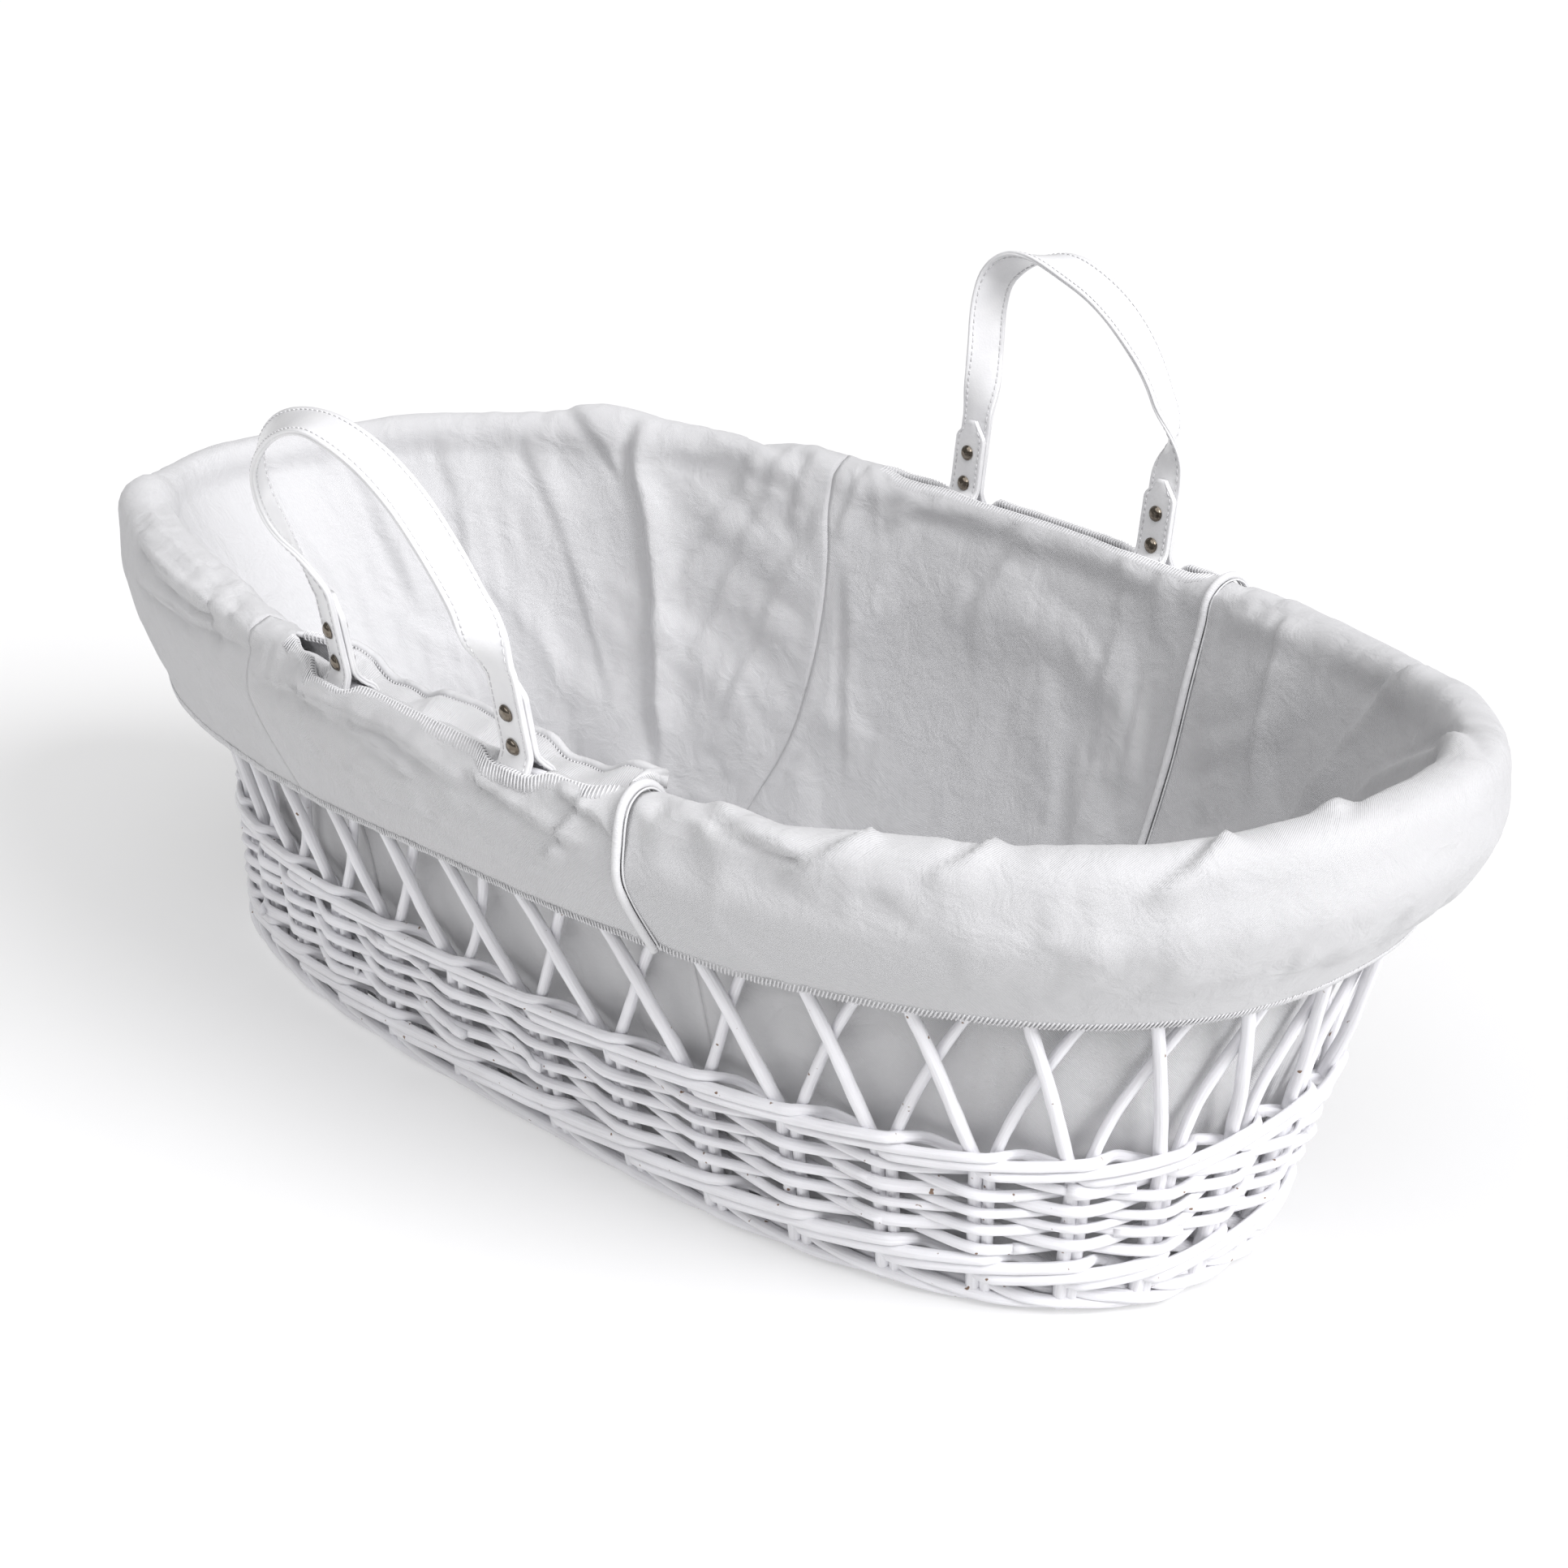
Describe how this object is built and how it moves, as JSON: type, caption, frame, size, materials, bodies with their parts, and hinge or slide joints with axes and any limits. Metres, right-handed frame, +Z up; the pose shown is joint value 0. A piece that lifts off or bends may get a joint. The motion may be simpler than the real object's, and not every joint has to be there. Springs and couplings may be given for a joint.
{
  "type": "moses basket",
  "caption": "White woven willow baby basket with open zigzag stake sides, a padded cloth liner rolled over the rim, a mattress and riveted strap handles.",
  "frame": {"origin": "on the ground under the middle of the rim", "axes": "+X to the foot end (the long way), +Y to the far handle, +Z up"},
  "size_m": [0.8584, 0.5066, 0.3919],
  "materials": {
    "painted_willow": "white paint over willow rods, satin, thin brown bark specks",
    "liner_cloth": "white brushed cotton, padded, matt",
    "piping_cloth": "white cotton piping, matt",
    "mattress_cloth": "white quilted cotton, matt",
    "strap": "white coated leather strap with pale stitching",
    "rivet_metal": "dark nickel, polished"
  },
  "bodies": {
    "basket": {"foot_border": "painted_willow", "base_weave": "painted_willow", "base_stick_1": "painted_willow", "base_stick_2": "painted_willow", "base_stick_3": "painted_willow", "base_stick_4": "painted_willow", "base_stick_5": "painted_willow", "base_stick_6": "painted_willow", "lower_wale": "painted_willow", "side_weave": "painted_willow", "upper_wale": "painted_willow", "stake_lattice": "painted_willow", "top_border": "painted_willow", "liner_foot": "liner_cloth", "liner_head": "liner_cloth", "liner_side_far": "liner_cloth", "liner_side_near": "liner_cloth", "liner_floor": "liner_cloth", "piping_far": "piping_cloth", "piping_near": "piping_cloth"},
    "handle_near": {"handle_strap_near": "strap", "rivet_near_head_lower": "rivet_metal", "rivet_near_head_upper": "rivet_metal", "rivet_near_foot_lower": "rivet_metal", "rivet_near_foot_upper": "rivet_metal"},
    "handle_far": {"handle_strap_far": "strap", "rivet_far_head_lower": "rivet_metal", "rivet_far_head_upper": "rivet_metal", "rivet_far_foot_lower": "rivet_metal", "rivet_far_foot_upper": "rivet_metal"},
    "mattress": {"mattress": "mattress_cloth"}
  },
  "joints": [
    {"name": "near_handle_swing", "type": "hinge", "parent": "basket", "child": "handle_near", "pos_m": [0.0375, -0.20564, 0.2422], "axis": [0.9992, -0.0022, -0.0395], "range_deg": [-84, 25]},
    {"name": "far_handle_swing", "type": "hinge", "parent": "basket", "child": "handle_far", "pos_m": [0.0475, 0.20544, 0.24186], "axis": [-0.9992, 0.0076, 0.0383], "range_deg": [-78, 31]},
    {"name": "mattress_lift", "type": "slide", "parent": "basket", "child": "mattress", "axis": [0, 0, 1], "range_m": [0, 0.15]}
  ]
}
